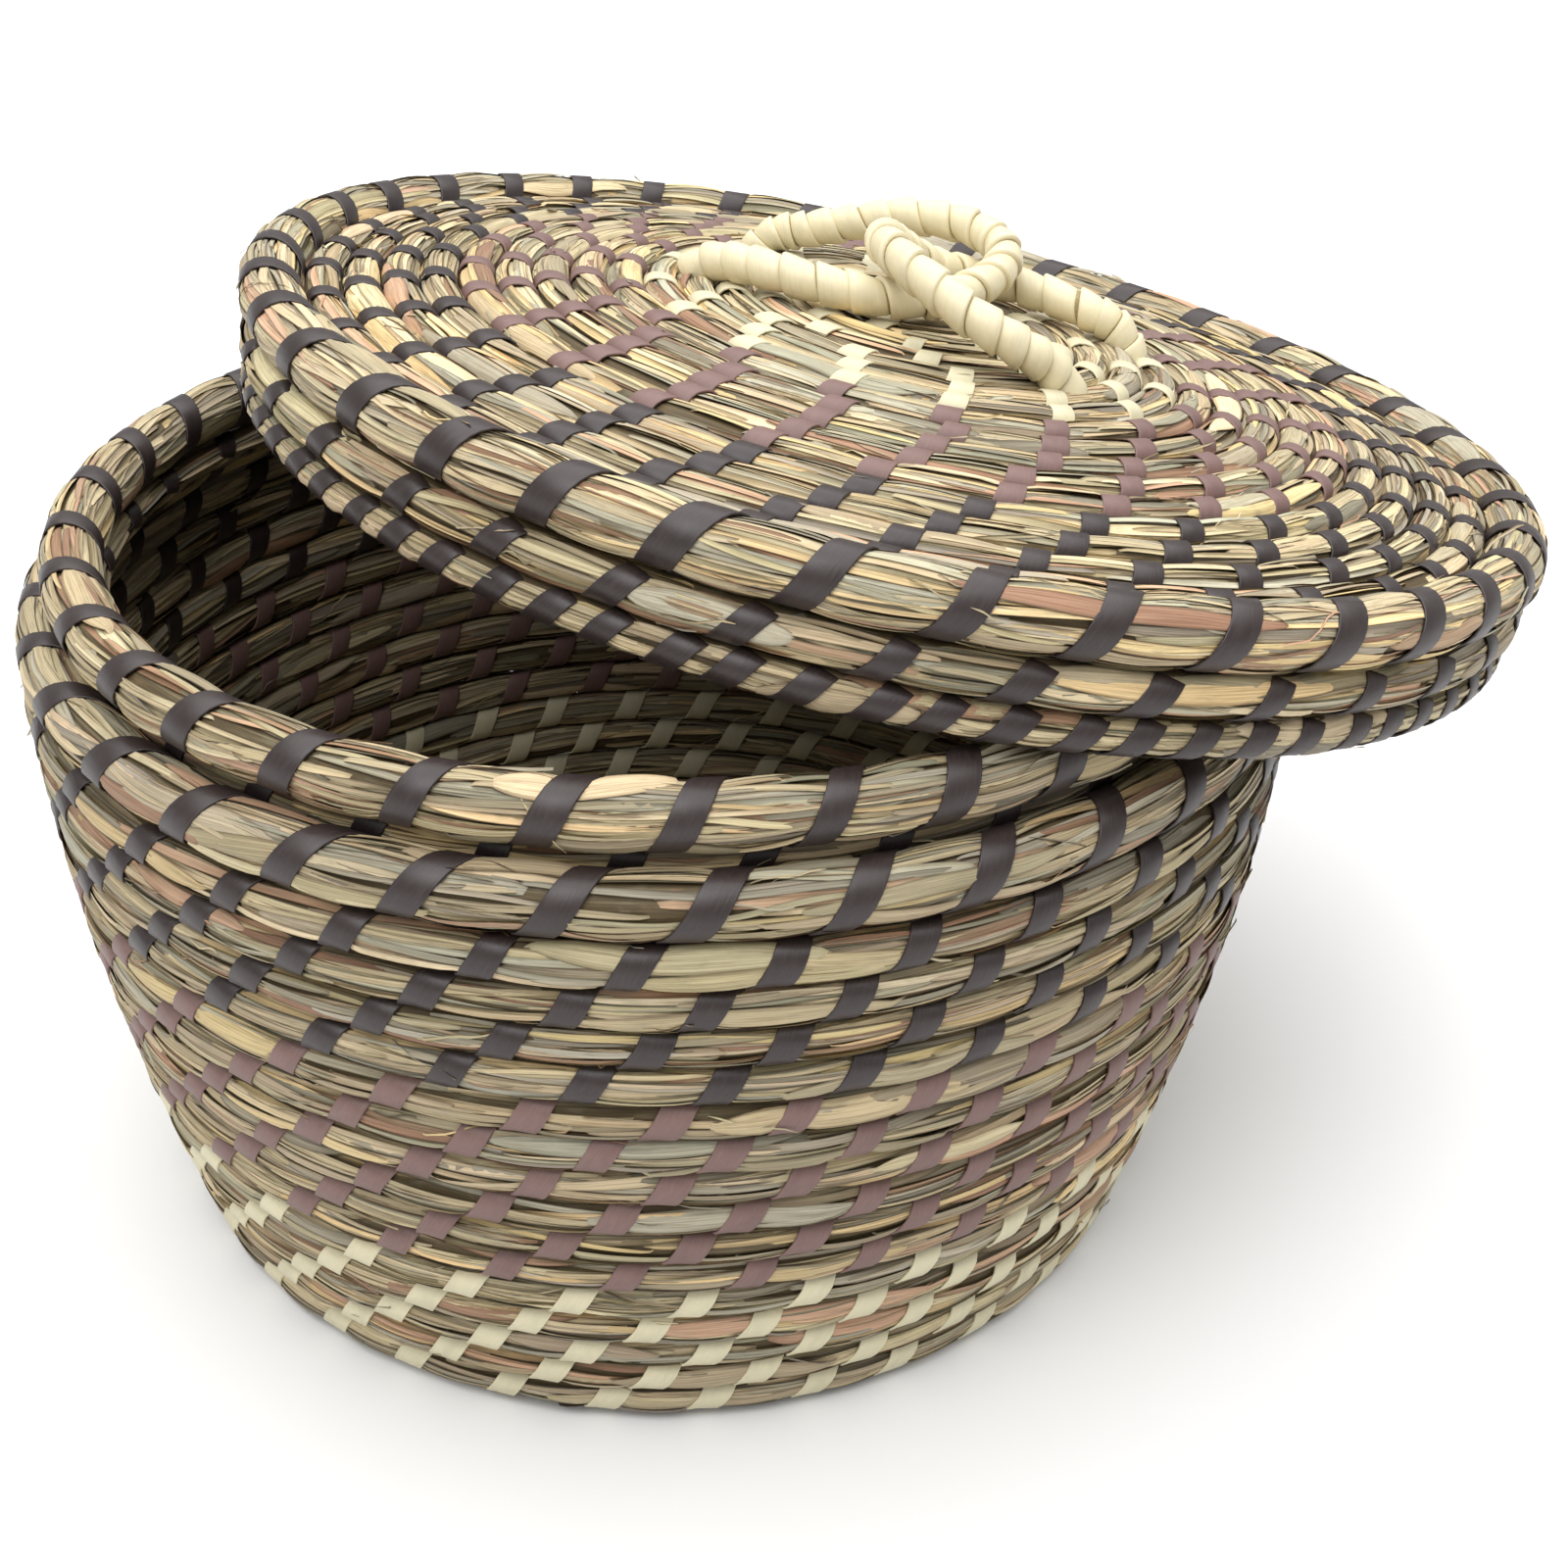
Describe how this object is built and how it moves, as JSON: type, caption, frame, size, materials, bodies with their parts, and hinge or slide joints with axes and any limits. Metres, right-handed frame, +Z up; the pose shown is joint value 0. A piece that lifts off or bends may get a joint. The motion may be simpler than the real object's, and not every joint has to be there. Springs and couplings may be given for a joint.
{
  "type": "coiled seagrass basket with a lid",
  "caption": "Round coiled seagrass basket with a loose domed lid set askew, sewn with dark, mauve and ivory straps, with interlocked wrapped loops as the lid's grip.",
  "frame": {"origin": "centre of the basket's underside, on the floor", "axes": "+Z up; the lid's low side points roughly along +X and the open side of the mouth along -X"},
  "size_m": [0.3014, 0.2842, 0.1941],
  "materials": {
    "seagrass": "dry natural grass bundles, matt, khaki straw with tan streaks",
    "dark_strap": "flat strap, dark aubergine brown, slight sheen",
    "mauve_strap": "flat strap, dusty mauve, matt",
    "ivory_strap": "flat strap, ivory, matt",
    "ivory_strip": "flat strip wound on the grip, warm ivory, satin"
  },
  "bodies": {
    "basket": {"rim_coil": "seagrass", "rim_under_coil": "seagrass", "shoulder_coil": "seagrass", "wall_coil_01": "seagrass", "wall_coil_02": "seagrass", "wall_coil_03": "seagrass", "wall_coil_04": "seagrass", "wall_coil_05": "seagrass", "wall_coil_06": "seagrass", "wall_coil_07": "seagrass", "wall_coil_08": "seagrass", "wall_coil_09": "seagrass", "wall_coil_10": "seagrass", "wall_coil_11": "seagrass", "wall_coil_12": "seagrass", "wall_coil_13": "seagrass", "wall_coil_14": "seagrass", "wall_coil_15": "seagrass", "base_coil": "seagrass", "base_centre": "seagrass", "rim_straps": "dark_strap", "wall_straps_dark": "dark_strap", "wall_straps_mauve": "mauve_strap", "wall_straps_ivory": "ivory_strap", "base_straps": "ivory_strap"},
    "lid": {"lid_edge_coil": "seagrass", "lid_skirt_coil": "seagrass", "lid_hem_coil": "seagrass", "lid_coil_dark": "seagrass", "lid_coil_mauve": "seagrass", "lid_coil_ivory": "seagrass", "lid_centre": "seagrass", "lid_straps_dark": "dark_strap", "lid_straps_mauve": "mauve_strap", "lid_straps_ivory": "ivory_strap", "lid_edge_straps": "dark_strap", "lid_hem_straps": "dark_strap", "handle_loop_a_core": "seagrass", "handle_loop_b_core": "seagrass", "handle_loop_a_wrap": "ivory_strip", "handle_loop_b_wrap": "ivory_strip"}
  },
  "joints": [
    {"name": "lid_lift", "type": "slide", "parent": "basket", "child": "lid", "axis": [0, 0, 1], "range_m": [0, 0.2]}
  ]
}
